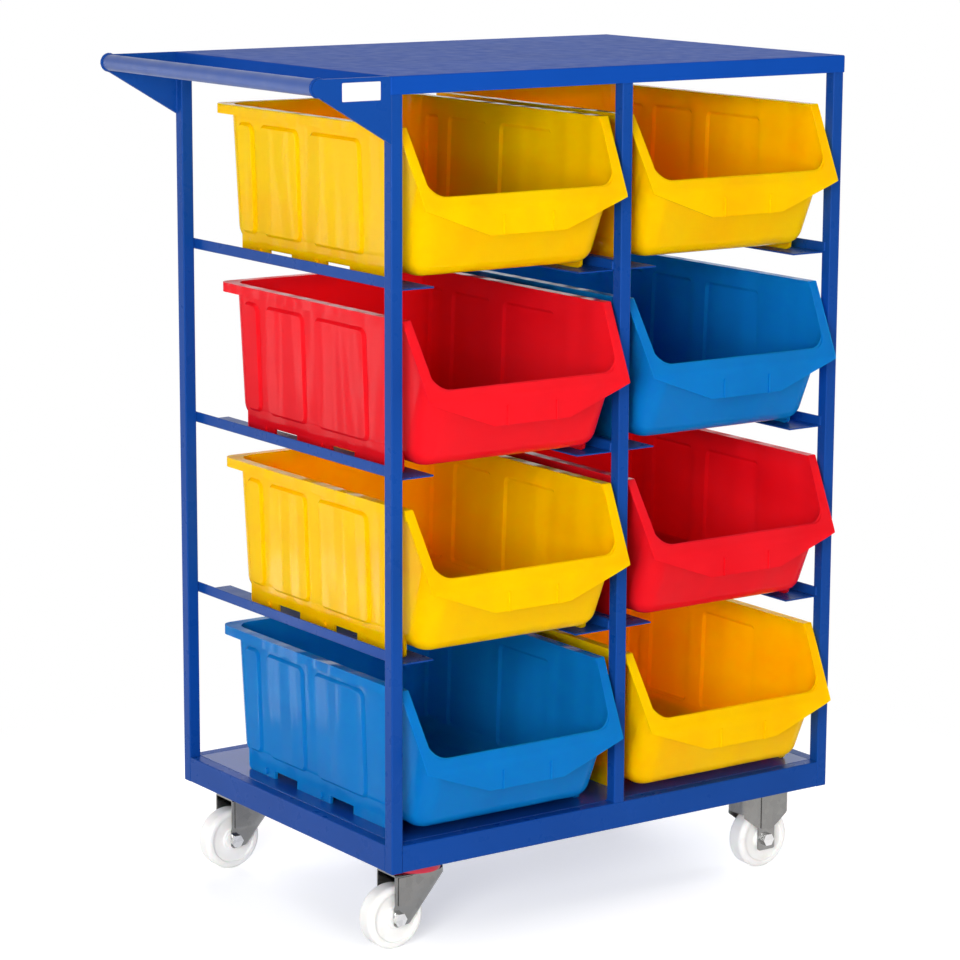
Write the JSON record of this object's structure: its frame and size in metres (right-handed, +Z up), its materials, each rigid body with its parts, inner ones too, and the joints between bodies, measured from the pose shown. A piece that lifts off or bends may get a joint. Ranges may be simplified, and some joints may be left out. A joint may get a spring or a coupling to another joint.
{
  "type": "mobile bin cart",
  "caption": "Tube-frame cart on casters with a push handle and columns of open-fronted picking bins on runners.",
  "frame": {"origin": "on the floor, under the middle of the whole cart's box", "axes": "+Z up, the bins open towards -Y, the push handle is at the -X end"},
  "size_m": [0.9956, 0.683, 1.34],
  "materials": {
    "frame_paint": "smooth blue gloss paint",
    "deck_paint": "blue paint, a little duller",
    "bin_yellow": "moulded, satin sheen",
    "bin_red": "moulded, satin sheen",
    "bin_blue": "moulded, satin sheen",
    "zinc": "zinc-plated pressing",
    "bolt_steel": "bright zinc",
    "wheel_nylon": "white nylon",
    "seal_red": "moulded dust ring",
    "label_white": "blank white plate"
  },
  "bodies": {
    "frame": {"top_panel": "frame_paint", "top_rail_front": "frame_paint", "top_rail_rear": "frame_paint", "top_rail_left": "frame_paint", "top_rail_right": "frame_paint", "post_front_left": "frame_paint", "post_front_centre": "frame_paint", "post_front_right": "frame_paint", "post_rear_left": "frame_paint", "post_rear_centre": "frame_paint", "post_rear_right": "frame_paint", "base_rail_front": "frame_paint", "base_rail_rear": "frame_paint", "base_rail_left": "frame_paint", "base_rail_right": "frame_paint", "base_channel_left": "frame_paint", "base_channel_right": "frame_paint", "base_channel_centre": "frame_paint", "base_deck": "deck_paint", "runner_top_left": "frame_paint", "runner_top_centre": "frame_paint", "runner_top_right": "frame_paint", "runner_upper_left": "frame_paint", "runner_upper_centre": "frame_paint", "runner_upper_right": "frame_paint", "runner_lower_left": "frame_paint", "runner_lower_centre": "frame_paint", "runner_lower_right": "frame_paint", "handle_bar": "frame_paint", "gusset_front": "frame_paint", "gusset_rear": "frame_paint", "label_plate": "label_white", "caster_front_left_plate": "zinc", "caster_front_left_seal": "seal_red", "caster_front_left_kingpin": "bolt_steel", "caster_rear_left_plate": "zinc", "caster_rear_left_seal": "seal_red", "caster_rear_left_kingpin": "bolt_steel", "caster_front_right_bracket": "zinc", "caster_front_right_axle": "bolt_steel", "caster_rear_right_bracket": "zinc", "caster_rear_right_axle": "bolt_steel", "caster_bolts": "bolt_steel"},
    "bin_left_top": {"bin_left_top": "bin_yellow"},
    "bin_left_upper": {"bin_left_upper": "bin_red"},
    "bin_left_lower": {"bin_left_lower": "bin_yellow"},
    "bin_left_bottom": {"bin_left_bottom": "bin_blue"},
    "bin_right_top": {"bin_right_top": "bin_yellow"},
    "bin_right_upper": {"bin_right_upper": "bin_blue"},
    "bin_right_lower": {"bin_right_lower": "bin_red"},
    "bin_right_bottom": {"bin_right_bottom": "bin_yellow"},
    "caster_front_left_fork": {"caster_front_left_fork": "zinc", "caster_front_left_axle": "bolt_steel"},
    "caster_front_left_wheel": {"caster_front_left_wheel": "wheel_nylon"},
    "caster_rear_left_fork": {"caster_rear_left_fork": "zinc", "caster_rear_left_axle": "bolt_steel"},
    "caster_rear_left_wheel": {"caster_rear_left_wheel": "wheel_nylon"},
    "caster_front_right_wheel": {"caster_front_right_wheel": "wheel_nylon"},
    "caster_rear_right_wheel": {"caster_rear_right_wheel": "wheel_nylon"}
  },
  "joints": [
    {"name": "bin_left_top_slide", "type": "slide", "parent": "frame", "child": "bin_left_top", "axis": [0, -1, 0], "range_m": [0, 0.6]},
    {"name": "bin_left_upper_slide", "type": "slide", "parent": "frame", "child": "bin_left_upper", "axis": [0, -1, 0], "range_m": [0, 0.6]},
    {"name": "bin_left_lower_slide", "type": "slide", "parent": "frame", "child": "bin_left_lower", "axis": [0, -1, 0], "range_m": [0, 0.6]},
    {"name": "bin_left_bottom_slide", "type": "slide", "parent": "frame", "child": "bin_left_bottom", "axis": [0, -1, 0], "range_m": [0, 0.6]},
    {"name": "bin_right_top_slide", "type": "slide", "parent": "frame", "child": "bin_right_top", "axis": [0, -1, 0], "range_m": [0, 0.6]},
    {"name": "bin_right_upper_slide", "type": "slide", "parent": "frame", "child": "bin_right_upper", "axis": [0, -1, 0], "range_m": [0, 0.6]},
    {"name": "bin_right_lower_slide", "type": "slide", "parent": "frame", "child": "bin_right_lower", "axis": [0, -1, 0], "range_m": [0, 0.6]},
    {"name": "bin_right_bottom_slide", "type": "slide", "parent": "frame", "child": "bin_right_bottom", "axis": [0, -1, 0], "range_m": [0, 0.6]},
    {"name": "caster_front_left_swivel", "type": "hinge", "parent": "frame", "child": "caster_front_left_fork", "pos_m": [-0.27675, -0.215, 0.14], "axis": [0, 0, 1], "continuous": true},
    {"name": "caster_front_left_roll", "type": "hinge", "parent": "caster_front_left_fork", "child": "caster_front_left_wheel", "pos_m": [-0.32075, -0.215, 0.05], "axis": [0, 1, 0], "continuous": true},
    {"name": "caster_rear_left_swivel", "type": "hinge", "parent": "frame", "child": "caster_rear_left_fork", "pos_m": [-0.27675, 0.271, 0.14], "axis": [0, 0, 1], "continuous": true},
    {"name": "caster_rear_left_roll", "type": "hinge", "parent": "caster_rear_left_fork", "child": "caster_rear_left_wheel", "pos_m": [-0.32075, 0.271, 0.05], "axis": [0, 1, 0], "continuous": true},
    {"name": "caster_front_right_roll", "type": "hinge", "parent": "frame", "child": "caster_front_right_wheel", "pos_m": [0.40925, -0.215, 0.05], "axis": [0, 1, 0], "continuous": true},
    {"name": "caster_rear_right_roll", "type": "hinge", "parent": "frame", "child": "caster_rear_right_wheel", "pos_m": [0.40925, 0.271, 0.05], "axis": [0, 1, 0], "continuous": true}
  ]
}
